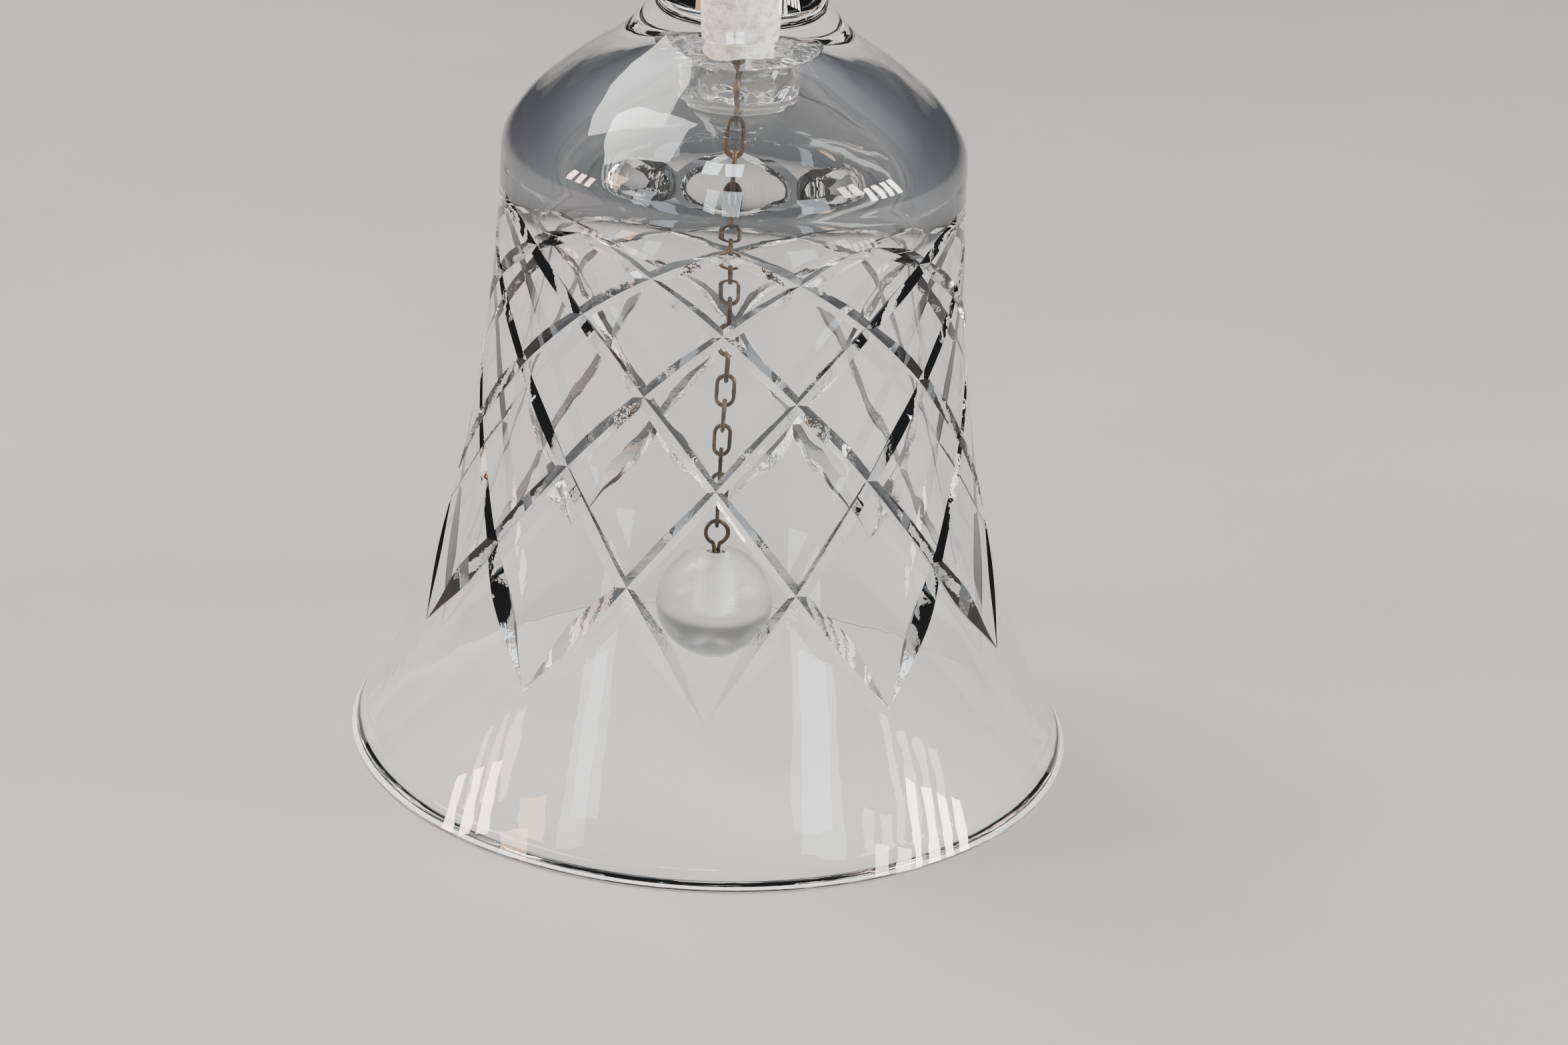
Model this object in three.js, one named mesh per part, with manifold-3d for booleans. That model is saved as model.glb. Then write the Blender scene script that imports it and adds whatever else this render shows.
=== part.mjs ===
// A cut-crystal hand bell that stands on its rim, with a glass ball clapper on a fine chain.
// Millimetres, +Z up. The origin is the centre of the rim, on the surface the bell stands on.
import * as THREE from 'three';
import { mergeVertices } from 'three/addons/utils/BufferGeometryUtils.js';
import Module from 'manifold-3d';

const wasm = await Module();
wasm.setup();

// ---- bell -----------------------------------------------------------------------------------
const MOUTH_R = 38;             // outer radius of the rim
const RIM_WALL = 2.7;           // glass thickness at the rim
const RIM_BEVEL = 0.4;          // bevel on both edges of the ground rim
const WAIST_R = 23.4;           // outer radius where the flare has become a straight wall
const WAIST_Z = 63.6;
const SHOULDER_R = 13.5;        // where the round shoulder turns into the hollow neck
const SHOULDER_Z = 74.5;
const NECK_R = 6.7;             // thinnest round section, just under the grip
const NECK_Z = 87;
const CAVITY_R = 19.6;          // inner radius under the roof
const CAVITY_Z = 55.7;
const CAVITY_TOP = 73.5;        // where the roof runs into the drilled bore
const BELL_SIDES = 48;
const WALL_STEPS = 11;
const NECK_STEPS = 6;

// ---- grip: a solid stem of eight flat facets with a faceted knob ------------------------------
const GRIP_SIDES = 8;
const GRIP_BASE_R = 6.7;
const GRIP_BASE_Z = 85;
const GRIP_WAIST_R = 6.3;
const GRIP_WAIST_Z = 94;
const GRIP_SWELL_R = 8.6;
const GRIP_SWELL_Z = 112;
const GRIP_COLLAR_R = 6;
const GRIP_COLLAR_Z = 119.5;
const KNOB_R = 10.2;            // widest ring of the knob
const KNOB_Z = 130;
const KNOB_HALF_HEIGHT = 8.4;
const KNOB_RINGS = 6;
const KNOB_FIRST_ANGLE = -48;   // degrees up the knob's outline, as is the step between rings
const KNOB_RING_STEP = 24;

// ---- the drilled hole in the neck, and what fills it ------------------------------------------
const BORE_R = 2.6;
const BORE_TOP_Z = 91;
const GLUE_GAP = 0.3;           // clearance kept between a filling and what it fills
const SHANK_R = 0.45;           // twisted wire shank
const SHANK_TOP_Z = 80;
const RESIN_R = 6;
const RESIN_FACE_R = 4.2;       // flat underside of the resin
const RESIN_BOTTOM_Z = 67.5;
const CEMENT_BOTTOM_Z = 71.3;   // the cement sticks out of the bore into the resin

// ---- chain ------------------------------------------------------------------------------------
const WIRE = 0.45;              // wire diameter of links and eyes
const LINK_COUNT = 16;
const LINK_LENGTH = 3.6;        // outside
const LINK_WIDTH = 2.1;         // outside
const LINK_PLAY = 0.06;         // between the wires of two links
const EYE_R = 1.6;              // outer radius of the hanger's eye
const EYE_Z = 67.4;
const CLAPPER_EYE_R = 1.5;
const WIRE_SIDES = 8;
const RING_STEPS = 14;

// ---- clapper ------------------------------------------------------------------------------------
const BALL_R = 6;
const BALL_HOLE_R = 1.35;
const BALL_HOLE_DEPTH = 7;
const BALL_GAP = 0.25;          // between the clapper's eye and the ball

const LINK_PITCH = LINK_LENGTH - 2 * WIRE - LINK_PLAY;
const FIRST_PIVOT_Z = EYE_Z - EYE_R + WIRE / 2;

const crystal = { color: 0xe9eef0, roughness: 0.03, metalness: 0, transparent: true, opacity: 0.4 };
const cement = { color: 0xe6e3dc, roughness: 0.8, metalness: 0 };
const resin = { color: 0xdfe3dd, roughness: 0.15, metalness: 0, transparent: true, opacity: 0.6 };
const brass = { color: 0x6b4a2a, roughness: 0.45, metalness: 0.9 };

const bell = new THREE.Group();

function addPiece(name, geometry, look, position = [0, 0, 0], turn = 0) {
    const mesh = new THREE.Mesh(geometry, new THREE.MeshStandardMaterial(look));
    mesh.name = name;
    mesh.position.set(...position);
    mesh.rotation.z = turn;
    bell.add(mesh);
}

// Position-only geometry with shared vertices and no zero-area triangles.
function welded(geometry) {
    const bare = geometry.clone();
    bare.deleteAttribute('normal');
    bare.deleteAttribute('uv');
    const merged = mergeVertices(bare, 1e-4);
    const index = merged.getIndex().array;
    const kept = [];
    for (let i = 0; i < index.length; i += 3) {
        const [a, b, c] = [index[i], index[i + 1], index[i + 2]];
        if (a !== b && b !== c && c !== a) kept.push(a, b, c);
    }
    merged.setIndex(kept);
    return merged;
}

function toSolid(geometry) {
    const closed = welded(geometry);
    return new wasm.Manifold(new wasm.Mesh({
        numProp: 3,
        vertProperties: new Float32Array(closed.getAttribute('position').array),
        triVerts: new Uint32Array(closed.getIndex().array),
    }));
}

function toGeometry(solid) {
    const mesh = solid.getMesh();
    const geometry = new THREE.BufferGeometry();
    geometry.setAttribute('position', new THREE.BufferAttribute(mesh.vertProperties, 3));
    geometry.setIndex(new THREE.BufferAttribute(mesh.triVerts, 1));
    geometry.computeVertexNormals();
    return geometry;
}

// A profile of [radius, height] points turned about Z.
function turned(profile, sides) {
    const points = profile.map(([r, z]) => new THREE.Vector2(r, z));
    return welded(new THREE.LatheGeometry(points, sides).rotateX(Math.PI / 2));
}

function curvePoints(start, control1, control2, end, steps) {
    const [a, b, c, d] = [start, control1, control2, end].map((p) => new THREE.Vector2(...p));
    return new THREE.CubicBezierCurve(a, b, c, d).getPoints(steps).map((p) => [p.x, p.y]);
}

// ---- the glass: outside, grip, cavity and bore ------------------------------------------------
function bellOutside() {
    const wall = curvePoints([MOUTH_R, RIM_BEVEL], [31, 10], [23.8, 32], [WAIST_R, WAIST_Z], WALL_STEPS);
    const shoulder = curvePoints([WAIST_R, WAIST_Z], [WAIST_R, 67.2], [18.7, 71.2],
        [SHOULDER_R, SHOULDER_Z], NECK_STEPS);
    const neck = curvePoints([SHOULDER_R, SHOULDER_Z], [9.3, 77.2], [6.9, 81.5],
        [NECK_R, NECK_Z], NECK_STEPS);
    const standing = [[0, 0], [MOUTH_R - RIM_BEVEL, 0]];
    const profile = [...standing, ...wall, ...shoulder.slice(1), ...neck.slice(1), [0, NECK_Z]];
    return turned(profile, BELL_SIDES);
}

function grip() {
    const profile = [
        [0, GRIP_BASE_Z], [GRIP_BASE_R, GRIP_BASE_Z], [GRIP_WAIST_R, GRIP_WAIST_Z],
        [GRIP_SWELL_R, GRIP_SWELL_Z], [GRIP_COLLAR_R, GRIP_COLLAR_Z],
    ];
    let topZ = GRIP_COLLAR_Z;
    for (let i = 0; i < KNOB_RINGS; i += 1) {
        const angle = THREE.MathUtils.degToRad(KNOB_FIRST_ANGLE + i * KNOB_RING_STEP);
        topZ = KNOB_Z + KNOB_HALF_HEIGHT * Math.sin(angle);
        profile.push([KNOB_R * Math.cos(angle), topZ]);
    }
    profile.push([0, topZ]);
    return turned(profile, GRIP_SIDES);
}

function cavity() {
    const innerR = MOUTH_R - RIM_WALL;
    const wall = curvePoints([innerR, RIM_BEVEL], [28.2, 10], [20, 33.7], [CAVITY_R, CAVITY_Z], WALL_STEPS);
    const roof = curvePoints([CAVITY_R, CAVITY_Z], [CAVITY_R, 65.8], [12.7, 67.2],
        [BORE_R, CAVITY_TOP], WALL_STEPS);
    const below = -1;
    const bevelR = innerR + RIM_BEVEL;
    const profile = [[0, below], [bevelR, below], [bevelR, 0], ...wall, ...roof.slice(1), [0, CAVITY_TOP]];
    return turned(profile, BELL_SIDES);
}

function cylinder(radius, bottom, top, sides) {
    return turned([[0, bottom], [radius, bottom], [radius, top], [0, top]], sides);
}

const boreSides = 24;
const boreStart = CAVITY_TOP - 1;
const glass = toSolid(bellOutside())
    .add(toSolid(grip()))
    .subtract(toSolid(cavity()))
    .subtract(toSolid(cylinder(BORE_R, boreStart, BORE_TOP_Z, boreSides)));
addPiece('glass_bell', toGeometry(glass), crystal);

// ---- hanger and what holds it -------------------------------------------------------------------
const quarterTurn = Math.PI / 2;
const shankHoleR = SHANK_R + GLUE_GAP;

function boreCement() {
    const outer = BORE_R - GLUE_GAP;
    const bottom = CEMENT_BOTTOM_Z;
    const top = BORE_TOP_Z - GLUE_GAP;
    const holeTop = SHANK_TOP_Z + GLUE_GAP;
    return turned([[shankHoleR, bottom], [outer, bottom], [outer, top], [0, top], [0, holeTop],
        [shankHoleR, holeTop], [shankHoleR, bottom]], boreSides);
}

// A ring of wire standing in the XZ plane, pulled apart into an oval by `straight`.
function wireRing(outerR, straight, wire = WIRE) {
    const ringR = outerR - wire / 2;
    const ring = new THREE.TorusGeometry(ringR, wire / 2, WIRE_SIDES, RING_STEPS);
    ring.rotateZ(Math.PI / RING_STEPS);
    const position = ring.getAttribute('position');
    for (let i = 0; i < position.count; i += 1) {
        const y = position.getY(i);
        position.setY(i, y + Math.sign(y) * straight / 2);
    }
    return welded(ring.rotateX(Math.PI / 2));
}

// A thick button of clear adhesive under the roof, moulded round the cement, the shank and the eye.
function resinButton() {
    const edge = RESIN_R - RESIN_FACE_R;
    const profile = [
        [0, RESIN_BOTTOM_Z], [RESIN_FACE_R, RESIN_BOTTOM_Z],
        [RESIN_FACE_R + edge * 0.4, RESIN_BOTTOM_Z + edge * 0.25],
        [RESIN_R - edge * 0.2, RESIN_BOTTOM_Z + edge * 0.4],
        [RESIN_R, RESIN_BOTTOM_Z + edge * 0.75], [RESIN_R, CAVITY_TOP], [0, CAVITY_TOP],
    ];
    const underRoof = toSolid(cavity().translate(0, 0, -GLUE_GAP));
    const eyeRoom = wireRing(EYE_R + GLUE_GAP, 0, WIRE + 2 * GLUE_GAP);
    eyeRoom.rotateZ(quarterTurn).translate(0, 0, EYE_Z);
    const shankRoom = cylinder(shankHoleR, EYE_Z + EYE_R - WIRE / 2, CAVITY_TOP + 1, WIRE_SIDES);
    const cementRoom = cylinder(BORE_R, CEMENT_BOTTOM_Z - GLUE_GAP, CAVITY_TOP + 1, boreSides);
    const button = toSolid(turned(profile, boreSides)).intersect(underRoof);
    const rooms = [eyeRoom, shankRoom, cementRoom];
    return toGeometry(rooms.reduce((solid, room) => solid.subtract(toSolid(room)), button));
}

// A round eye with its centre at the origin and a straight shank from `from` to `to` on Z.
function eyeWithShank(outerR, from, to) {
    const shank = toSolid(cylinder(SHANK_R, from, to, WIRE_SIDES));
    return toGeometry(toSolid(wireRing(outerR, 0)).add(shank));
}

addPiece('bore_cement', boreCement(), cement);
addPiece('resin_dome', resinButton(), resin);

const eyeShankFrom = EYE_R - WIRE / 2;
const hangerEye = eyeWithShank(EYE_R, eyeShankFrom, SHANK_TOP_Z - EYE_Z);
addPiece('hanger_eye', hangerEye, brass, [0, 0, EYE_Z], quarterTurn);

// Each link hangs on the bottom wire of the one above and is turned a quarter to it.
for (let i = 0; i < LINK_COUNT; i += 1) {
    const pivotZ = FIRST_PIVOT_Z - i * LINK_PITCH;
    const centreZ = pivotZ + WIRE + LINK_PLAY + WIRE / 2 - (LINK_LENGTH - WIRE) / 2 - WIRE / 2;
    const name = `chain_link_${String(i + 1).padStart(2, '0')}`;
    const turn = i % 2 === 0 ? 0 : quarterTurn;
    addPiece(name, wireRing(LINK_WIDTH / 2, LINK_LENGTH - LINK_WIDTH), brass, [0, 0, centreZ], turn);
}

// ---- clapper: eye, cement and ball -----------------------------------------------------------------
const lastPivotZ = FIRST_PIVOT_Z - LINK_COUNT * LINK_PITCH;
const clapperEyeZ = lastPivotZ + WIRE / 2 + LINK_PLAY - (CLAPPER_EYE_R - WIRE);
const ballZ = clapperEyeZ - CLAPPER_EYE_R - BALL_GAP - BALL_R;
const ballTop = ballZ + BALL_R;
const holeBottom = ballTop - BALL_HOLE_DEPTH;
const clapperShankBottom = holeBottom + 2;

const clapperEye = eyeWithShank(CLAPPER_EYE_R, clapperShankBottom - clapperEyeZ, WIRE / 2 - CLAPPER_EYE_R);
addPiece('clapper_eye', clapperEye, brass, [0, 0, clapperEyeZ]);

function clapperCement() {
    const outer = BALL_HOLE_R - GLUE_GAP;
    const bottom = holeBottom + GLUE_GAP;
    const top = ballTop - GLUE_GAP;
    const floor = clapperShankBottom - GLUE_GAP;
    return turned([[0, bottom], [outer, bottom], [outer, top], [shankHoleR, top],
        [shankHoleR, floor], [0, floor]], boreSides);
}
addPiece('clapper_cement', clapperCement(), cement);

const ballShape = new THREE.SphereGeometry(BALL_R, 28, 18).rotateX(Math.PI / 2).translate(0, 0, ballZ);
const ballHole = cylinder(BALL_HOLE_R, holeBottom, ballTop + 1, boreSides);
addPiece('clapper_ball', toGeometry(toSolid(ballShape).subtract(toSolid(ballHole))), crystal);

export default bell;
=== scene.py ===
"""A cut-crystal hand bell with a glass ball clapper on a fine chain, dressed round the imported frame.

Shapes are worked out in millimetres and written to meshes in metres. +Z is up and the origin is the
centre of the rim. Azimuths are turns about +Z counted from the front, which is -Y, towards +X.
"""
import math

import bmesh
import bpy
import numpy as np
from mathutils import Matrix, Vector


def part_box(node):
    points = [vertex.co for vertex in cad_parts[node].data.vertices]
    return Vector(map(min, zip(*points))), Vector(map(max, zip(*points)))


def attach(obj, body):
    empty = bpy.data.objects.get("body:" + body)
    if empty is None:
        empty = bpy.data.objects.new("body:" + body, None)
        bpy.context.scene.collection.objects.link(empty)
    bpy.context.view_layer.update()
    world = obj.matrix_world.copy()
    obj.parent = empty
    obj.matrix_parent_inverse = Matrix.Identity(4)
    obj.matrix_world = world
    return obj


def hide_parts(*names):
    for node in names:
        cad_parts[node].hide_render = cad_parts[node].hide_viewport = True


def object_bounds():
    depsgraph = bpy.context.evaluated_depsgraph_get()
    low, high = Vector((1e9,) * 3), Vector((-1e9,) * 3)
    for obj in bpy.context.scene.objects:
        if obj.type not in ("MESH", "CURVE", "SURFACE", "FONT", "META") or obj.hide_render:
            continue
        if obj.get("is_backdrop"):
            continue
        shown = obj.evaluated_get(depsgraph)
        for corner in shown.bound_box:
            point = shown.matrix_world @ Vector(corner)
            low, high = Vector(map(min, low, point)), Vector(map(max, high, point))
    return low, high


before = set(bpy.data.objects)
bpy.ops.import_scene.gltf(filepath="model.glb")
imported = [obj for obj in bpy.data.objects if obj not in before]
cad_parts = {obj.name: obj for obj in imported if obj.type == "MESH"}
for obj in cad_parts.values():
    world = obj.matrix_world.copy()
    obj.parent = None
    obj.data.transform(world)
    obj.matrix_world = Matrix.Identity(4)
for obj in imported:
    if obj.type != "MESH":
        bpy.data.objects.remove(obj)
cad_low, cad_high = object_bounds()
MM = 0.001
BELL_MIDDLE = (0, 0, 0.045)

# ---- driving dimensions of the glass, as in the frame, in millimetres --------------------------
MOUTH_R = cad_high.x / MM
RIM_WALL = 2.7
RIM_BEVEL = 0.4
GROUND_RING = 1.25              # how far in the ground ring under the rim reaches
WAIST = (23.4, 63.6)            # (radius, height) where the flare has become a straight wall
SHOULDER = (13.5, 74.5)         # where the round shoulder turns into the neck
NECK = (6.7, 87.0)
CAVITY_R, CAVITY_Z, CAVITY_TOP = 19.6, 55.7, 73.5
BORE_R, BORE_TOP_Z = 2.6, 91.0

# ---- control points of the curves between them, as (radius, height) -----------------------------
FLARE_PULLS = (31, 10), (23.8, 32)
SHOULDER_PULLS = (23.4, 67.2), (18.7, 71.2)
NECK_PULLS = (9.3, 77.2), (6.9, 81.5)
WALL_PULLS = (28.2, 10), (20, 33.7)
ROOF_PULLS = (CAVITY_R, 65.8), (12.7, 67.2)

# ---- adhesive under the roof ---------------------------------------------------------------------
RESIN_R = 6.0
RESIN_FACE_R = 4.5              # radius of its underside
RESIN_SAG = 1.1                 # how far the middle of the underside is drawn up
OVERLAP = 0.03                  # how far a filling reaches into the glass that it sticks to

# ---- the grip ------------------------------------------------------------------------------------
STEM = (6.85, 84.4), (5.9, 91), (6.3, 99), (8.6, 112)           # a curve from the neck up
STEM_ROUND_Z, STEM_FLAT_Z = 84.5, 92                            # round below, eight flats above
COLLAR = (8.35, 112.7), (6.1, 119.1), (6.0, 119.6), (6.05, 120.2)
KNOB_R, KNOB_Z, KNOB_HALF = 10.2, 130.0, 8.4
KNOB_RINGS = 6
KNOB_FIRST_ANGLE, KNOB_RING_STEP = -48, 24                      # degrees up the knob's outline

# ---- wire and ball -------------------------------------------------------------------------------
WIRE_R = 0.225
STRAND_R = 0.235                # from the middle of a twisted shank to the middle of a strand
LINK_WIDTH = 2.1
HANGER_EYE_R, CLAPPER_EYE_R = 1.6, 1.5
BALL_HOLE_R, BALL_HOLE_DEPTH = 1.35, 7.0

# ---- the cuts: two families of V cuts that wind opposite ways and cross in rows ----------------
CUTS = 10                       # cuts in each family
TURN_OFFSET = -0.014            # radians, from the front to the nearest row of tips
ROWS = 6                        # half steps of azimuth that a cut crosses from tip to tip
TOP_ROW_Z = 60.4
ROW_DROP = 2.35                 # height of the first row under the tips, and what each row adds to it
ROW_GROWTH = 0.88
CUT_HALF_WIDTH = 0.64
CUT_LEAF = 0.66                 # how much wider the leaf near the bottom tip is
CUT_SLOPE = 0.92                # depth over half width of the V
LEAF_SLOPE = 0.78               # the same in the leaf
CUT_ARRIS = 0.1                 # width of the crisp strip beside a cut
CUT_SWELL = 0.16                # how much wider a cut is between two crossings
TOP_TIP, BOTTOM_TIP = 0.45, 0.62                # rows over which a cut narrows to its tips
LEAF_SPREAD = 0.36              # rows over which the leaf fades

# ---- material index of the ground glass and of the sides of the cuts, after 0 for polished -------
GROUND, CUT = 1, 2

# ---- mesh density ------------------------------------------------------------------------------
LINES = 26                      # mesh lines per step between two cuts of a family
AROUND = CUTS * LINES
GRIP_CORNERS = 16
GRIP_PER_CORNER = 6
GRIP_AROUND = GRIP_CORNERS * GRIP_PER_CORNER


# ================================================================================================
# outlines
# ================================================================================================
def bezier(points, steps):
    a, b, c, d = (np.array(p, float) for p in points)
    t = np.linspace(0, 1, steps + 1)[:, None]
    return (1 - t) ** 3 * a + 3 * (1 - t) ** 2 * t * b + 3 * (1 - t) * t ** 2 * c + t ** 3 * d


def smooth(low, high, x):
    t = np.clip((x - low) / (high - low), 0, 1)
    return t * t * (3 - 2 * t)


FINE = 400
outside = np.vstack([
    bezier([(MOUTH_R, RIM_BEVEL), *FLARE_PULLS, WAIST], FINE),
    bezier([WAIST, *SHOULDER_PULLS, SHOULDER], FINE)[1:],
    bezier([SHOULDER, *NECK_PULLS, NECK], FINE)[1:],
])
outside_slope = np.gradient(outside[:, 0], outside[:, 1])


def outside_r(z):
    return np.interp(z, outside[:, 1], outside[:, 0])


def outside_dr(z):
    return np.interp(z, outside[:, 1], outside_slope)


cavity_wall = bezier([(MOUTH_R - RIM_WALL, RIM_BEVEL), *WALL_PULLS, (CAVITY_R, CAVITY_Z)], 46)
cavity_roof = bezier([(CAVITY_R, CAVITY_Z), *ROOF_PULLS, (BORE_R, CAVITY_TOP)], 34)


def roof_z(r):
    return float(np.interp(-r, -cavity_roof[:, 0], cavity_roof[:, 1]))


def row_z(s):
    growth = np.where(s > 0, ROW_GROWTH * s ** 2, 0)
    return TOP_ROW_Z - ROW_DROP * s - growth


def row_step(s):
    """Height lost per row at row s."""
    return ROW_DROP + np.where(s > 0, 2 * ROW_GROWTH * s, 0)


# ================================================================================================
# mesh helpers
# ================================================================================================
class Shell:
    """Collects vertices in millimetres and faces with a material index and a smooth flag."""

    def __init__(self):
        self.points = []
        self.count = 0
        self.faces = []
        self.marks = []

    def add(self, points):
        points = np.asarray(points, float).reshape(-1, 3)
        first = self.count
        self.points.append(points)
        self.count += len(points)
        return np.arange(first, self.count)

    def face(self, corners, material=0, smooth_face=True):
        self.faces.append(tuple(int(c) for c in corners))
        self.marks.append((material, smooth_face))

    def bridge(self, lower, upper, material=0, smooth_face=True):
        """Quads between two rings of the same count."""
        for a, b, c, d in zip(lower, np.roll(lower, -1), np.roll(upper, -1), upper):
            self.face((a, b, c, d), material, smooth_face)

    def zip(self, lower, upper, material=0):
        """Triangles between two rings of different counts, both starting at their given azimuths."""
        points = np.vstack(self.points)
        low_turn = unwrapped_turns(points[lower])
        high_turn = unwrapped_turns(points[upper])
        shift = round((low_turn[0] - high_turn[0]) / math.tau) * math.tau
        high_turn = high_turn + shift
        i, j = 0, 0
        while i < len(lower) or j < len(upper):
            next_low = low_turn[i + 1] if i < len(lower) else math.inf
            next_high = high_turn[j + 1] if j < len(upper) else math.inf
            a, b = lower[i % len(lower)], upper[j % len(upper)]
            if next_low <= next_high:
                i += 1
                self.face((a, lower[i % len(lower)], b), material)
            else:
                j += 1
                self.face((a, upper[j % len(upper)], b), material)

    def cap(self, ring, centre, material=0, smooth_face=True):
        tip = self.add(centre)[0]
        for a, b in zip(ring, np.roll(ring, -1)):
            self.face((a, b, tip), material, smooth_face)

    def build(self, name, materials, sharp_degrees=16):
        mesh = bpy.data.meshes.new(name)
        mesh.from_pydata((np.vstack(self.points) * MM).tolist(), [], self.faces)
        for material in materials:
            mesh.materials.append(material)
        mesh.polygons.foreach_set("material_index", [m for m, _ in self.marks])
        mesh.polygons.foreach_set("use_smooth", [s for _, s in self.marks])
        form = bmesh.new()
        form.from_mesh(mesh)
        bmesh.ops.recalc_face_normals(form, faces=form.faces)
        form.to_mesh(mesh)
        form.free()
        mesh.set_sharp_from_angle(angle=math.radians(sharp_degrees))
        piece = bpy.data.objects.new(name, mesh)
        bpy.context.scene.collection.objects.link(piece)
        return piece


def unwrapped_turns(points):
    """Azimuths of a ring, always growing, with the first repeated a full turn later."""
    turns = np.arctan2(points[:, 0], -points[:, 1])
    steps = np.diff(np.append(turns, turns[0]))
    steps = np.mod(steps + math.pi, math.tau) - math.pi
    return turns[0] + np.concatenate([[0], np.cumsum(steps)])


def on_ring(turns, radius, z):
    turns = np.asarray(turns, float)
    radius = np.broadcast_to(radius, turns.shape)
    z = np.broadcast_to(z, turns.shape)
    return np.stack([radius * np.sin(turns), -radius * np.cos(turns), z], axis=-1)


# ================================================================================================
# the cut band of the bell's outside
# ================================================================================================
def in_leaf(s):
    """1 in the middle of the leaf near the bottom tip, fading to 0 on both sides of it."""
    return np.exp(-((s - ROWS + BOTTOM_TIP) / LEAF_SPREAD) ** 2)


def cut_half_width(s):
    """Half width of a cut at row s: pointed at both tips, with a leaf above the bottom tip."""
    leaf = CUT_LEAF * in_leaf(s)
    between = CUT_SWELL * np.sin(np.pi * s) ** 2
    top = 1 - np.clip((TOP_TIP - s) / TOP_TIP, 0, 1) ** 2
    bottom = 1 - np.clip((s - ROWS + BOTTOM_TIP) / BOTTOM_TIP, 0, 1) ** 2
    return (CUT_HALF_WIDTH + leaf + between) * np.clip(top, 0, 1) * np.clip(bottom, 0, 1)


def across_per_step(s):
    """Millimetres square to a cut for one whole step between neighbours of a family."""
    z = row_z(s)
    wide = math.tau * outside_r(z) / CUTS
    high = row_step(s) * np.sqrt(1 + outside_dr(z) ** 2)
    return wide * high / np.hypot(wide / 2, high)


def line_place(index, s):
    """Where mesh line `index` lies between two cuts, as a share of the step. Lines gather at the cuts."""
    tightest = 0.22
    across = across_per_step(s)
    edge = np.maximum(cut_half_width(s), tightest) / across
    arris = edge + CUT_ARRIS / across
    flat_first, flat_last = 3, LINES - 3
    share = (index - flat_first) / (flat_last - flat_first)
    place = arris + share * (1 - 2 * arris)
    place = np.where(index == 0, 0, place)
    place = np.where(index == 1, edge / 2, place)
    place = np.where(index == 2, edge, place)
    place = np.where(index == LINES - 2, 1 - edge, place)
    place = np.where(index == LINES - 1, 1 - edge / 2, place)
    evenly = np.maximum(smooth(0, -0.9, s), smooth(ROWS, ROWS + 0.9, s))
    return place * (1 - evenly) + evenly * index / LINES


def cut_depth(p, q, s):
    across = across_per_step(s)
    half = cut_half_width(s)
    one_way = half - np.abs(p - np.round(p)) * across
    other_way = half - np.abs(q - np.round(q)) * across
    slope = CUT_SLOPE + (LEAF_SLOPE - CUT_SLOPE) * in_leaf(s)
    return slope * np.maximum(0, np.maximum(one_way, other_way))


def ripple(turns, z, amount):
    """Soft unevenness of hand-worked glass."""
    slow = np.sin(3 * turns + z / 9 + 1)
    middling = 0.6 * np.sin(5 * turns - z / 6 + 2) + 0.4 * np.sin(8 * turns + z / 4)
    drawn = 0.12 * np.sin(23 * turns + 2 * np.sin(z / 15))
    return amount * (slow + middling + drawn)


def cut_band(shell):
    """Adds the band with the cuts and returns its top and bottom rings."""
    first_row, last_row = -LINES, (ROWS + 1) * LINES
    rows = np.arange(first_row, last_row + 1)
    i, m = np.meshgrid(np.arange(AROUND), rows)
    j = i + m
    s = m / LINES
    settling_rounds = 14
    for _ in range(settling_rounds):
        p = i // LINES + line_place(i % LINES, s)
        q = j // LINES + line_place(j % LINES, s)
        s = 0.3 * s + 0.7 * (q - p)
    turns = (p + q) / 2 * math.tau / CUTS + TURN_OFFSET
    z = row_z(s)
    r = outside_r(z)
    dr = outside_dr(z)
    depth = cut_depth(p, q, s)
    lean = np.sqrt(1 + dr ** 2)
    points = on_ring(turns, r - depth / lean, z + depth * dr / lean)
    index = shell.add(points).reshape(i.shape)
    # One diagonal or the other, so that the ridges where two cuts cross are real edges.
    for row in range(1, len(rows) - 1):
        here, above, below = index[row], index[row - 1], index[row + 1]
        p_mid = p[row] - np.round(p[row]) + 0.5 / LINES
        q_mid = q[row] - np.round(q[row]) + 0.5 / LINES
        same_side = p_mid * q_mid > 0
        corner_depths = [depth[row], depth[row + 1], np.roll(depth[row], -1), np.roll(depth[row - 1], -1)]
        deepest = np.maximum.reduce(corner_depths)
        kinds = np.where(deepest > 0.01, CUT, 0)
        right = np.roll(here, -1)
        right_above = np.roll(above, -1)
        for a, b, c, d, same, kind in zip(here, right_above, right, below, same_side, kinds.tolist()):
            if same:
                shell.face((a, b, c), kind)
                shell.face((a, c, d), kind)
            else:
                shell.face((a, b, d), kind)
                shell.face((b, c, d), kind)
    top, second = index[0], index[1]
    for a, b, c in zip(top, np.roll(top, -1), second):
        shell.face((a, b, c))
    bottom, last = index[-1], index[-2]
    for a, b, c in zip(bottom, np.roll(last, -1), np.roll(bottom, -1)):
        shell.face((a, b, c))
    return top, bottom


def ring_turns(shell, ring):
    points = np.vstack(shell.points)[ring]
    return np.arctan2(points[:, 0], -points[:, 1])


# ================================================================================================
# the grip
# ================================================================================================
def octagon(radius, odd=False):
    """Radii at the 16 corner directions of an octagon whose corners are on the even or odd ones."""
    inner = radius * math.cos(math.pi / 8)
    even_r, odd_r = (inner, radius) if odd else (radius, inner)
    return [even_r if k % 2 == 0 else odd_r for k in range(GRIP_CORNERS)]


def corner_points(radii, z):
    turns = np.arange(GRIP_CORNERS) * math.tau / GRIP_CORNERS
    return on_ring(turns, np.array(radii), z)


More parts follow.
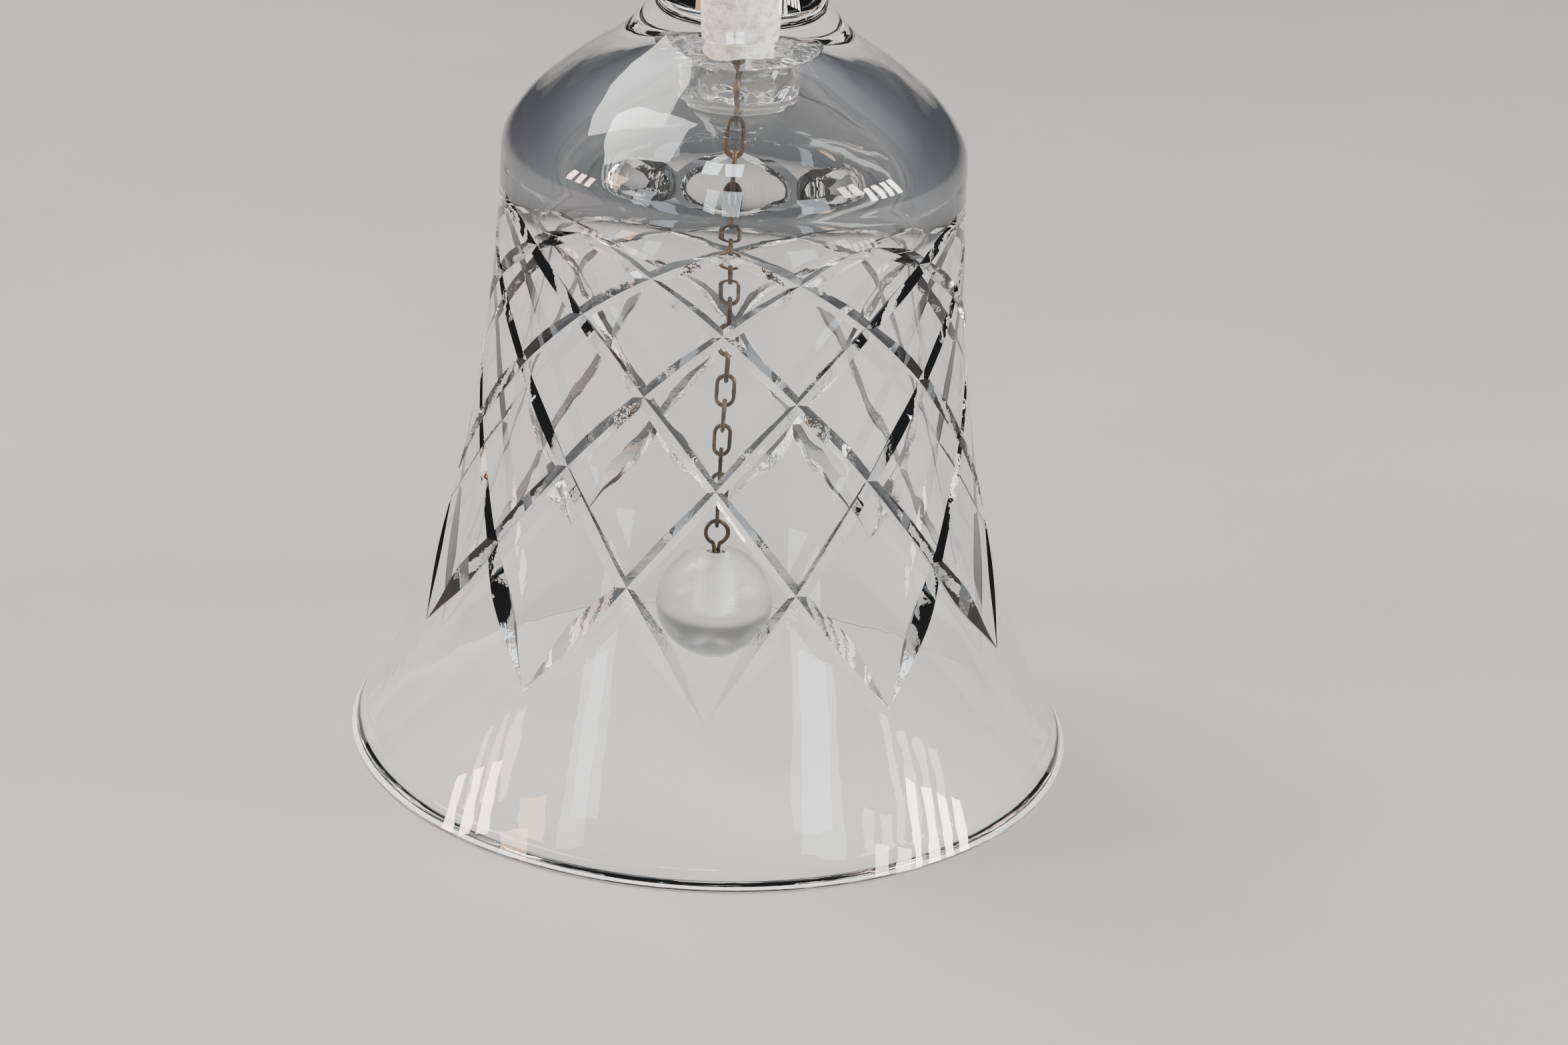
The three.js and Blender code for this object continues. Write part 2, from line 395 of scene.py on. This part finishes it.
def stem_ring(radius, z, roundness):
    """A fine ring between a circle and an octagon of the same corner radius."""
    corners = corner_points(octagon(radius), z)
    share = np.arange(GRIP_PER_CORNER)[None, :, None] / GRIP_PER_CORNER
    flat = corners[:, None] * (1 - share) + np.roll(corners, -1, axis=0)[:, None] * share
    flat = flat.reshape(-1, 3)
    turns = np.arange(GRIP_AROUND) * math.tau / GRIP_AROUND
    return flat * (1 - roundness) + on_ring(turns, radius, z) * roundness


def add_grip(shell, neck_ring):
    """The solid stem of eight flats that fade out into the neck, a collar and the faceted knob."""
    ring = neck_ring
    first = True
    for radius, z in bezier(STEM, 30):
        roundness = 1 - float(smooth(STEM_ROUND_Z, STEM_FLAT_Z, z))
        new = shell.add(stem_ring(radius, z, roundness))
        if first:
            shell.zip(ring, new)
            first = False
        else:
            shell.bridge(ring, new)
        ring = new
    for radius, z in COLLAR:
        new = shell.add(stem_ring(radius, z, 0))
        shell.bridge(ring, new)
        ring = new
    previous = None
    for k in range(KNOB_RINGS):
        angle = math.radians(KNOB_FIRST_ANGLE + KNOB_RING_STEP * k)
        odd = k % 2 == 1
        radii = octagon(KNOB_R * math.cos(angle), odd)
        new = shell.add(corner_points(radii, KNOB_Z + KNOB_HALF * math.sin(angle)))
        if previous is None:
            shell.zip(ring, new)
        else:
            add_knob_belt(shell, previous, new, odd)
        previous = new
    table = np.vstack(shell.points)[previous].mean(axis=0)
    shell.cap(previous, table, smooth_face=False)


def add_knob_belt(shell, lower, upper, upper_odd):
    """Flat triangles between two octagons that are turned half a side to each other."""
    for k in range(GRIP_CORNERS):
        a, b = lower[k], lower[(k + 1) % GRIP_CORNERS]
        c, d = upper[k], upper[(k + 1) % GRIP_CORNERS]
        upper_corner_is_second = (k % 2 == 0) == upper_odd
        if upper_corner_is_second:
            shell.face((a, b, d), smooth_face=False)
            shell.face((a, d, c), smooth_face=False)
        else:
            shell.face((a, b, c), smooth_face=False)
            shell.face((b, d, c), smooth_face=False)


# ================================================================================================
# the whole glass bell
# ================================================================================================
def glass_bell(polished, ground, cut):
    shell = Shell()
    top, bottom = cut_band(shell)

    turns = ring_turns(shell, top)
    ring = top
    shoulder_start = float(row_z(np.array(-1.0)))
    along = outside[(outside[:, 1] > shoulder_start + 0.2) & (outside[:, 1] < 84)]
    lengths = np.concatenate([[0], np.cumsum(np.hypot(*np.diff(along, axis=0).T))])
    for length in np.linspace(0.5, lengths[-1], 44):
        r = np.interp(length, lengths, along[:, 0])
        z = np.interp(length, lengths, along[:, 1])
        new = shell.add(on_ring(turns, r + ripple(turns, z, 0.01), z))
        shell.bridge(ring, new)
        ring = new
    add_grip(shell, ring)

    turns = ring_turns(shell, bottom)
    inner_r = MOUTH_R - RIM_WALL
    lip_z = 1.4
    lip_r = float(np.interp(lip_z, cavity_wall[:, 1], cavity_wall[:, 0]))
    ring_r = MOUTH_R - GROUND_RING
    lip = bezier([(ring_r, 0), (inner_r + 0.6, 0), (inner_r - 0.2, 0.5), (lip_r, lip_z)], 9)[1:]
    rim = [
        (MOUTH_R, RIM_BEVEL, 0), (MOUTH_R - 0.12, 0.12, 0),
        (MOUTH_R - RIM_BEVEL, 0, GROUND), (ring_r, 0, GROUND),
        *((r, z, 0) for r, z in lip),
    ]
    ring = bottom
    for r, z, material in rim:
        new = shell.add(on_ring(turns, r, z))
        shell.bridge(ring, new, material)
        ring = new
    for r, z in np.vstack([cavity_wall[cavity_wall[:, 1] > lip_z + 0.3], cavity_roof[1:]]):
        fading = float(smooth(RIM_BEVEL, 6, z) * smooth(BORE_R, CAVITY_R, r))
        new = shell.add(on_ring(turns, r + ripple(turns, z, 0.035) * fading, z))
        shell.bridge(ring, new)
        ring = new
    for z in np.linspace(CAVITY_TOP + 0.5, BORE_TOP_Z - 0.6, 8):
        new = shell.add(on_ring(turns, BORE_R, z))
        shell.bridge(ring, new, GROUND)
        ring = new
    new = shell.add(on_ring(turns, BORE_R - 0.5, BORE_TOP_Z - 0.1))
    shell.bridge(ring, new, GROUND)
    shell.cap(new, (0, 0, BORE_TOP_Z), GROUND)

    piece = shell.build("bell_glass", [polished, ground, cut])
    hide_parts("glass_bell")
    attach(piece, "bell")
    return piece


# ================================================================================================
# materials
# ================================================================================================
CRYSTAL_IOR = 1.545


class Nodes:
    """A short way to write a node material."""

    def __init__(self, name):
        self.material = bpy.data.materials.new(name)
        self.material.use_nodes = True
        self.tree = self.material.node_tree
        self.tree.nodes.clear()
        self.output = self.add("ShaderNodeOutputMaterial")
        self.place = self.add("ShaderNodeTexCoord").outputs["Object"]

    def add(self, kind, settings=None, **inputs):
        node = self.tree.nodes.new(kind)
        for key, value in (settings or {}).items():
            setattr(node, key, value)
        for key, value in inputs.items():
            self.set(node, key.replace("_", " "), value)
        return node

    def set(self, node, key, value):
        socket = node.inputs[key]
        if isinstance(value, bpy.types.NodeSocket):
            self.tree.links.new(value, socket)
        else:
            socket.default_value = value

    def noise(self, scale, detail=3.0, roughness=0.55, vector=None):
        node = self.add("ShaderNodeTexNoise", Scale=scale, Detail=detail, Roughness=roughness)
        self.tree.links.new(vector or self.place, node.inputs["Vector"])
        return node.outputs["Fac"]

    def spread(self, value, low, high, to_low, to_high):
        node = self.add("ShaderNodeMapRange", Value=value)
        for key, number in (("From Min", low), ("From Max", high), ("To Min", to_low), ("To Max", to_high)):
            node.inputs[key].default_value = number
        return node.outputs["Result"]

    def ramp(self, value, stops):
        node = self.add("ShaderNodeValToRGB", Fac=value)
        ramp = node.color_ramp
        ramp.elements[0].position, ramp.elements[0].color = stops[0][0], (*stops[0][1], 1)
        ramp.elements[1].position, ramp.elements[1].color = stops[-1][0], (*stops[-1][1], 1)
        for position, color in stops[1:-1]:
            ramp.elements.new(position).color = (*color, 1)
        return node.outputs["Color"]

    def bump(self, height, distance, strength=1.0):
        node = self.add("ShaderNodeBump", Strength=strength, Distance=distance, Height=height)
        return node.outputs["Normal"]

    def principled(self, **inputs):
        shader = self.add("ShaderNodeBsdfPrincipled")
        for key, value in inputs.items():
            self.set(shader, key.replace("_", " "), value)
        return shader.outputs["BSDF"]

    def finish(self, surface):
        self.tree.links.new(surface, self.output.inputs["Surface"])
        return self.material

    def clear_to_lamps(self, surface, tint):
        """Lets lamps light what is inside clear glass, with darker shadows under its edges."""
        path = self.add("ShaderNodeLightPath")
        facing = self.add("ShaderNodeLayerWeight").outputs["Facing"]
        edge = tuple(0.25 * t for t in tint)
        shade = self.ramp(facing, [(0, tint), (0.55, tuple(0.9 * t for t in tint)), (1, edge)])
        through = self.add("ShaderNodeBsdfTransparent", Color=shade)
        mix = self.add("ShaderNodeMixShader")
        self.tree.links.new(path.outputs["Is Shadow Ray"], mix.inputs[0])
        self.tree.links.new(surface, mix.inputs[1])
        self.tree.links.new(through.outputs["BSDF"], mix.inputs[2])
        return mix.outputs["Shader"]


def clear_glass(n, relief, tone, index, shadow):
    """Clear glass with faint smudges; `shadow` is what it lets through to lamps."""
    smudge = n.spread(n.noise(70, 4, 0.6), 0.56, 0.78, 0.0, 0.04)
    glass = n.principled(Base_Color=tone, Roughness=smudge, IOR=index, Transmission_Weight=1.0, Normal=relief)
    return n.finish(n.clear_to_lamps(glass, shadow))


def polished_crystal():
    """Mouth-blown glass, drawn out a little along the axis, which makes reflections waver."""
    n = Nodes("polished_crystal")
    drawn = n.add("ShaderNodeMapping", Vector=n.place, Scale=(1, 1, 0.14)).outputs["Vector"]
    relief = n.bump(n.noise(170, 2, vector=drawn), 0.00006, 0.7)
    tone = n.ramp(n.noise(30, 2), [(0.3, (0.975, 0.99, 0.985)), (0.7, (0.992, 0.996, 0.996))])
    return clear_glass(n, relief, tone, CRYSTAL_IOR, (0.7, 0.72, 0.72))


def ball_crystal():
    """The ball, turned and polished, with faint turning marks round its axis."""
    n = Nodes("ball_crystal")
    bands = {"wave_type": "BANDS", "bands_direction": "Z"}
    marks = n.add("ShaderNodeTexWave", bands, Vector=n.place, Scale=420, Distortion=1.2, Detail=2.0,
                  Detail_Scale=300)
    relief = n.bump(marks.outputs["Fac"], 0.000018, 0.3)
    tone = n.ramp(n.noise(90, 2), [(0.3, (0.95, 0.975, 0.97)), (0.7, (0.985, 0.99, 0.99))])
    return clear_glass(n, relief, tone, CRYSTAL_IOR, (0.6, 0.62, 0.62))


def cut_facets():
    """The polished sides of the cuts, which still show the soft waves that the wheel left. Their tint is
    darker than the polished glass: painted shade in the cuts, patterned by the same waves.
    """
    n = Nodes("cut_facets")
    wheel_waves_and_shade = n.noise(620, 3, 0.6)
    # painted shade: the sides of the cuts get a darker tint than the polished glass, varying with the wheel's
    # waves
    tone = n.ramp(wheel_waves_and_shade, [(0.3, (0.83, 0.86, 0.87)), (0.7, (0.94, 0.955, 0.955))])
    relief = n.bump(wheel_waves_and_shade, 0.0001, 0.45)
    return clear_glass(n, relief, tone, CRYSTAL_IOR, (0.55, 0.57, 0.57))


def ground_glass():
    n = Nodes("ground_glass")
    grain = n.noise(5200, 3, 0.7)
    rough = n.spread(grain, 0.3, 0.7, 0.45, 0.7)
    relief = n.bump(grain, 0.00004, 0.7)
    tone = n.ramp(n.noise(400, 3), [(0.3, (0.9, 0.91, 0.91)), (0.7, (0.98, 0.98, 0.98))])
    frosted = n.principled(Base_Color=tone, Roughness=rough, IOR=CRYSTAL_IOR, Transmission_Weight=0.25,
                           Normal=relief)
    return n.finish(frosted)


def cement():
    n = Nodes("white_cement")
    grain = n.noise(1100, 6, 0.7)
    tone = n.ramp(grain, [(0.36, (0.4, 0.39, 0.36)), (0.5, (0.7, 0.69, 0.66)), (0.66, (0.9, 0.9, 0.88))])
    rough = n.spread(n.noise(700, 3), 0.3, 0.7, 0.55, 0.85)
    chalk = n.principled(Base_Color=tone, Roughness=rough, Normal=n.bump(grain, 0.00012, 0.9))
    return n.finish(chalk)


def resin():
    n = Nodes("clear_resin")
    cloud = n.noise(500, 4, 0.6)
    tone = n.ramp(cloud, [(0.3, (0.93, 0.92, 0.88)), (0.7, (0.985, 0.985, 0.97))])
    rough = n.spread(cloud, 0.4, 0.75, 0.0, 0.12)
    relief = n.bump(n.noise(330, 2), 0.0006, 0.6)
    glossy = n.principled(Base_Color=tone, Roughness=rough, IOR=1.5, Transmission_Weight=1.0, Normal=relief)
    return n.finish(n.clear_to_lamps(glossy, (0.85, 0.85, 0.82)))


def tarnished_brass():
    n = Nodes("tarnished_brass")
    patch = n.noise(420, 5, 0.62)
    tone = n.ramp(patch, [(0.34, (0.016, 0.011, 0.008)), (0.52, (0.055, 0.033, 0.019)),
                          (0.7, (0.19, 0.125, 0.065))])
    rough = n.spread(n.noise(900, 3), 0.3, 0.7, 0.34, 0.6)
    relief = n.bump(n.noise(2600, 3), 0.00003, 0.6)
    wire = n.principled(Base_Color=tone, Metallic=1.0, Roughness=rough, Normal=relief)
    return n.finish(wire)


def pale_floor():
    n = Nodes("pale_floor")
    tone = n.ramp(n.noise(9, 4), [(0.3, (0.425, 0.415, 0.405)), (0.7, (0.465, 0.455, 0.44))])
    surface = n.principled(Base_Color=tone, Roughness=0.62, Normal=n.bump(n.noise(420, 3), 0.0002, 0.3))
    return n.finish(surface)


# ================================================================================================
# fillings, wire and ball
# ================================================================================================
def turned(shell, outline, around, material=0):
    """A closed solid of revolution from an outline that starts and ends on the axis."""
    turns = np.arange(around) * math.tau / around
    rings = [shell.add(on_ring(turns, r, z)) for r, z in outline[1:-1]]
    for lower, upper in zip(rings, rings[1:]):
        shell.bridge(lower, upper, material)
    shell.cap(rings[0], (0, 0, outline[0][1]), material)
    shell.cap(rings[-1], (0, 0, outline[-1][1]), material)


def place(piece, body, node, slot_name):
    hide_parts(node)
    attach(piece, body)
    return piece


def bore_filling(material):
    """Cement that fills the drilled hole, with an uneven end that sticks out into the resin."""
    shell = Shell()
    around = 96
    turns = np.arange(around) * math.tau / around
    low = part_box("bore_cement")[0].z / MM
    high = BORE_TOP_Z - 0.3
    rings = []
    for z in np.linspace(low, high, 80):
        uneven = 0.05 * np.sin(7 * turns + z * 2.1) * np.sin(z * 5.3) + 0.04 * np.sin(13 * turns - z * 3.7)
        tight = float(smooth(CAVITY_TOP - 0.4, CAVITY_TOP + 0.4, z))
        radius = BORE_R - 0.1 * (1 - tight) + OVERLAP * tight
        ragged = 0.22 * np.sin(3 * turns + 1) + 0.1 * np.sin(8 * turns)
        hanging = float(smooth(low + 1.6, low, z))
        rings.append(shell.add(on_ring(turns, radius + uneven * (1 - tight), z + ragged * hanging)))
    for lower, upper in zip(rings, rings[1:]):
        shell.bridge(lower, upper)
    shell.cap(rings[0], (0, 0, low - 0.1))
    shell.cap(rings[-1], (0, 0, high))
    return place(shell.build("bore_cement_core", [material]), "bell", "bore_cement", "cement")


def resin_button(material):
    """The thick button of clear adhesive under the roof, a little lopsided as it set."""
    shell = Shell()
    around = 120
    turns = np.arange(around) * math.tau / around
    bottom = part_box("resin_dome")[0].z / MM
    edge = RESIN_R - RESIN_FACE_R
    shelf_r, shelf_z = RESIN_FACE_R + 0.6 * edge, bottom + 0.4 * edge
    roof_edge_z = roof_z(RESIN_R)
    lopsided = 0.05 * np.sin(turns + 0.7) + 0.03 * np.sin(3 * turns) + 0.02 * np.sin(7 * turns + 2)
    underside = []
    for r in np.linspace(0.35, RESIN_FACE_R, 24):
        share = r / RESIN_FACE_R
        underside.append((r, bottom + RESIN_SAG * math.cos(1.5 * math.pi * share) ** 2 * (1 - share)))
    lip = bezier([(RESIN_FACE_R, bottom), (RESIN_FACE_R + 0.35 * edge, bottom),
                  (RESIN_FACE_R + 0.3 * edge, shelf_z), (shelf_r, shelf_z)], 12)[1:]
    side = bezier([(shelf_r, shelf_z), (RESIN_R, shelf_z), (RESIN_R, bottom + 0.8 * edge),
                   (RESIN_R, roof_edge_z + OVERLAP)], 12)[1:]
    top = [(r, roof_z(r) + OVERLAP) for r in np.linspace(RESIN_R, BORE_R + 0.02, 12)[1:]]
    rings = []
    for r, z in [*underside, *lip, *side, *top]:
        loose = lopsided * float(smooth(roof_edge_z, bottom, z)) * r / RESIN_R
        rings.append(shell.add(on_ring(turns, np.minimum(RESIN_R, r + loose), z + 0.8 * loose)))
    for lower, upper in zip(rings, rings[1:]):
        shell.bridge(lower, upper)
    shell.cap(rings[0], (0, 0, bottom + RESIN_SAG))
    shell.cap(rings[-1], (0, 0, roof_z(BORE_R)))
    return place(shell.build("resin_button", [material], 60), "bell", "resin_dome", "resin")


def tube(shell, path, radii, around, closed):
    """A round tube along a path, with frames carried along it so that it doesn't twist."""
    path = np.asarray(path, float)
    ahead = np.roll(path, -1, axis=0) - np.roll(path, 1, axis=0)
    if not closed:
        ahead[0] = path[1] - path[0]
        ahead[-1] = path[-1] - path[-2]
    ahead /= np.linalg.norm(ahead, axis=1)[:, None]
    side = np.cross(ahead[0], (0.31, 0.87, 0.38))
    side /= np.linalg.norm(side)
    turns = np.arange(around) * math.tau / around
    sides = []
    for direction in ahead:
        side = side - direction * (side @ direction)
        side /= np.linalg.norm(side)
        sides.append(side)
    drift = 0.0
    if closed:
        last = sides[-1] - ahead[0] * (sides[-1] @ ahead[0])
        last /= np.linalg.norm(last)
        drift = math.atan2(np.cross(last, sides[0]) @ ahead[0], last @ sides[0])
    rings = []
    for k, (point, direction, side) in enumerate(zip(path, ahead, sides)):
        other = np.cross(direction, side)
        angle = turns + drift * k / len(path)
        offsets = np.cos(angle)[:, None] * side + np.sin(angle)[:, None] * other
        rings.append(shell.add(point + offsets * radii[k]))
    for lower, upper in zip(rings, rings[1:]):
        shell.bridge(lower, upper)
    if closed:
        shell.bridge(rings[-1], rings[0])
    else:
        shell.cap(rings[0], path[0] - ahead[0] * radii[0] * 0.4)
        shell.cap(rings[-1], path[-1] + ahead[-1] * radii[-1] * 0.4)


def oval_path(width, length, count):
    """Centreline of a link standing in the XZ plane, round at both ends, centred on the origin."""
    radius = width / 2
    straight = length - width
    whole = math.tau * radius + 2 * straight
    points = []
    for k in range(count):
        along = whole * k / count
        if along < straight:
            points.append((radius, 0, along - straight / 2))
        elif along < straight + math.pi * radius:
            angle = (along - straight) / radius
            points.append((radius * math.cos(angle), 0, straight / 2 + radius * math.sin(angle)))
        elif along < 2 * straight + math.pi * radius:
            points.append((-radius, 0, straight / 2 - (along - straight - math.pi * radius)))
        else:
            angle = math.pi + (along - 2 * straight - math.pi * radius) / radius
            points.append((radius * math.cos(angle), 0, -straight / 2 + radius * math.sin(angle)))
    return np.array(points)


def standing(points, quarter, centre_z):
    """Turns a path in the XZ plane into the YZ plane where asked, and lifts it."""
    x, y, z = points.T
    if quarter:
        x, y = -y, x
    return np.stack([x, y, z + centre_z], axis=1)


def chain_link(number, material):
    node = f"chain_link_{number:02d}"
    low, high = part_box(node)
    length = (high.z - low.z) / MM
    quarter = number % 2 == 0
    count = 72
    path = oval_path(LINK_WIDTH - 2 * WIRE_R, length - 2 * WIRE_R, count)
    seam = 4 + number * 2 % 5
    steps = np.arange(count)
    from_seam = np.minimum(np.abs(steps - seam), count - np.abs(steps - seam))
    radii = WIRE_R * (1 + 0.16 * np.exp(-(from_seam / 1.6) ** 2))
    radii = radii * (1 - 0.04 * np.sin(steps * math.tau / count * 3 + number) ** 2)
    shell = Shell()
    tube(shell, standing(path, quarter, (low.z + high.z) / 2 / MM), radii, 14, True)
    piece = shell.build(f"{node}_wire", [material], 60)
    return place(piece, f"link_{number:02d}", node, "chain_brass")


def eye_and_shank(name, body, node, material, outer_r, centre_z, quarter, bottom, top):
    """A wire bent into an eye. Its ends are twisted into a shank, on the side where the piece is longer."""
    up = 1 if top - centre_z > centre_z - bottom else -1
    ring_r = outer_r - WIRE_R
    opening = math.radians(16)
    angles = np.linspace(opening, math.tau - opening, 60)
    eye = np.stack([ring_r * np.sin(angles), 0 * angles, up * ring_r * np.cos(angles)], axis=1)
    start = up * ring_r * math.cos(opening)
    finish = (top if up > 0 else bottom) - centre_z
    spread = ring_r * math.sin(opening)
    t = np.linspace(0, 1, 90)[1:]
    z = start + (finish - start) * t
    reach = spread + (STRAND_R - spread) * smooth(0, 0.12, t)
    turn = smooth(0.05, 1, t) * 5.5 * math.pi
    strand = np.stack([reach * np.cos(turn), reach * np.sin(turn), z], axis=1)
    other_strand = strand * (-1, -1, 1)
    path = np.vstack([strand[::-1], eye, other_strand])
    shell = Shell()
    tube(shell, standing(path, quarter, centre_z), np.full(len(path), WIRE_R), 14, False)
    return place(shell.build(name, [material], 60), body, node, "chain_brass")


def clapper_ball(polished, ground, cement_material):
    """A solid glass ball with a ground hole drilled down from its top, and the cement in the hole."""
    low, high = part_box("clapper_ball")
    radius = (high.x - low.x) / 2 / MM
    centre_z = low.z / MM + radius
    around = 128
    turns = np.arange(around) * math.tau / around
    shell = Shell()
    rings = []
    start = math.asin(BALL_HOLE_R / radius)
    steps = 90
    for k in range(steps):
        polar = math.pi - (math.pi - start) * (k + 1) / steps
        rings.append(shell.add(on_ring(turns, radius * math.sin(polar), centre_z + radius * math.cos(polar))))
    for lower, upper in zip(rings, rings[1:]):
        shell.bridge(lower, upper)
    shell.cap(rings[0], (0, 0, centre_z - radius))
    ring = rings[-1]
    mouth_z = centre_z + radius * math.cos(start)
    floor_z = centre_z + radius - BALL_HOLE_DEPTH
    for z in np.linspace(mouth_z - 0.15, floor_z + 0.3, 24):
        drill_marks = 0.02 * math.sin(z * 21)
        new = shell.add(on_ring(turns, BALL_HOLE_R + drill_marks, z))
        shell.bridge(ring, new, GROUND)
        ring = new
    shell.cap(ring, (0, 0, floor_z), GROUND)
    ball = shell.build("clapper_glass", [polished, ground])
    place(ball, "clapper", "clapper_ball", "crystal")

    plug = Shell()
    plug_r = BALL_HOLE_R - 0.08
    outline = [(0, floor_z + 0.4), (plug_r * 0.9, floor_z + 0.5), (plug_r, floor_z + 0.9)]
    outline += [(plug_r, z) for z in np.linspace(floor_z + 1.2, mouth_z - 0.7, 10)]
    outline += [(plug_r * 0.93, mouth_z - 0.45), (plug_r * 0.5, mouth_z - 0.3), (0, mouth_z - 0.28)]
    turned(plug, outline, 48)
    place(plug.build("clapper_cement_plug", [cement_material]), "clapper", "clapper_cement", "cement")


# ================================================================================================
# stage: floor, lights and camera
# ================================================================================================
def add_floor(material):
    mesh = bpy.data.meshes.new("floor")
    half = 1.6
    level = -0.06 * MM
    corners = [(-half, -half, level), (half, -half, level), (half, half, level), (-half, half, level)]
    mesh.from_pydata(corners, [], [(0, 1, 2, 3)])
    mesh.materials.append(material)
    floor = bpy.data.objects.new("floor", mesh)
    bpy.context.scene.collection.objects.link(floor)
    floor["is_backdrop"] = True


def add_light(name, position, aim, width, height, watts, color):
    light = bpy.data.lights.new(name, "AREA")
    light.shape = "RECTANGLE"
    light.size, light.size_y = width, height
    light.energy = watts
    light.color = color
    lamp = bpy.data.objects.new(name, light)
    lamp.location = position
    lamp.rotation_euler = (Vector(aim) - Vector(position)).to_track_quat("-Z", "Y").to_euler()
    bpy.context.scene.collection.objects.link(lamp)


def add_window(name, azimuth, elevation, distance, bars, bar_width, gap, height, watts, color):
    """A window of upright bright bars, seen from the bell at an azimuth from the front towards +X."""
    turn, lift = math.radians(azimuth), math.radians(elevation)
    reach = distance * math.cos(lift)
    middle = Vector((reach * math.sin(turn), -reach * math.cos(turn), distance * math.sin(lift) + 0.04))
    sideways = Vector((math.cos(turn), math.sin(turn), 0))
    for k in range(bars):
        offset = (k - (bars - 1) / 2) * (bar_width + gap)
        add_light(f"{name}_{k}", middle + sideways * offset, BELL_MIDDLE, bar_width, height, watts, color)


def add_lights():
    warm, cool = (1.0, 0.95, 0.87), (0.84, 0.91, 1.0)
    pink, orange = (1.0, 0.72, 0.62), (1.0, 0.6, 0.36)
    add_window("window_right", 80, 20, 0.85, 4, 0.045, 0.03, 0.27, 2.2, warm)
    add_window("window_left", -80, 17, 0.85, 3, 0.05, 0.035, 0.19, 1.6, pink)
    add_window("soft_right", 40, 16, 0.9, 1, 0.22, 0, 0.4, 2.0, cool)
    add_window("soft_left", -44, 16, 0.9, 1, 0.13, 0, 0.4, 1.1, cool)
    add_window("glint_right", 63, 30, 0.85, 2, 0.06, 0.03, 0.2, 1.1, warm)
    add_window("glint_left", -63, 30, 0.85, 1, 0.13, 0, 0.2, 1.3, orange)
    add_window("window_front", -8, 62, 0.95, 2, 0.11, 0.03, 0.16, 1.4, cool)
    add_light("overhead", (-0.3, 0.2, 0.6), BELL_MIDDLE, 0.32, 0.32, 3.9, (1, 0.98, 0.95))


def add_world():
    """A soft sky that is dim at the horizon and brighter overhead."""
    world = bpy.data.worlds.new("studio")
    world.use_nodes = True
    tree = world.node_tree
    upward = tree.nodes.new("ShaderNodeSeparateXYZ")
    tree.links.new(tree.nodes.new("ShaderNodeTexCoord").outputs["Generated"], upward.inputs["Vector"])
    fade = tree.nodes.new("ShaderNodeValToRGB")
    fade.color_ramp.interpolation = "EASE"
    horizon, overhead = fade.color_ramp.elements
    horizon.position, horizon.color = 0.0, (0.08, 0.083, 0.09, 1)
    overhead.position, overhead.color = 0.9, (0.38, 0.39, 0.41, 1)
    tree.links.new(upward.outputs["Z"], fade.inputs["Fac"])
    tree.links.new(fade.outputs["Color"], tree.nodes["Background"].inputs["Color"])
    bpy.context.scene.world = world


def add_camera():
    """Looks down on the bell, rolled a little, with the grip above the picture."""
    distance, elevation, roll = 0.3727, math.radians(26.1), math.radians(3.03)
    aim = Vector((0.0069, 0, 0.0235))
    place_at = Vector((0, -distance * math.cos(elevation), distance * math.sin(elevation)))
    camera = bpy.data.objects.new("camera", bpy.data.cameras.new("camera"))
    camera.data.sensor_width = 36
    camera.data.lens = 79.6
    camera.data.clip_start, camera.data.clip_end = 0.01, 10
    forward = (aim - place_at).normalized()
    turn = forward.to_track_quat("-Z", "Y").to_matrix() @ Matrix.Rotation(roll, 3, "Z")
    camera.location = place_at
    camera.rotation_mode = "QUATERNION"
    camera.rotation_quaternion = turn.to_quaternion()
    bpy.context.scene.collection.objects.link(camera)
    bpy.context.scene.camera = camera


# ================================================================================================
add_camera()
crystal = polished_crystal()
frosted = ground_glass()
white = cement()
brass = tarnished_brass()
glass_bell(crystal, frosted, cut_facets())
bore_filling(white)
cloudy = resin()
resin_button(cloudy)

low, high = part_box("hanger_eye")
eye_and_shank("hanger_eye_wire", "bell", "hanger_eye", brass, HANGER_EYE_R, low.z / MM + HANGER_EYE_R, True,
              low.z / MM, high.z / MM)
link_count = sum(1 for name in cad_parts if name.startswith("chain_link_"))
for link_number in range(1, link_count + 1):
    chain_link(link_number, brass)
low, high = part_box("clapper_eye")
eye_and_shank("clapper_eye_wire", "clapper", "clapper_eye", brass, CLAPPER_EYE_R, high.z / MM - CLAPPER_EYE_R,
              False, low.z / MM, high.z / MM)
clapper_ball(ball_crystal(), frosted, cloudy)

add_floor(pale_floor())
add_lights()
add_world()

low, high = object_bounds()
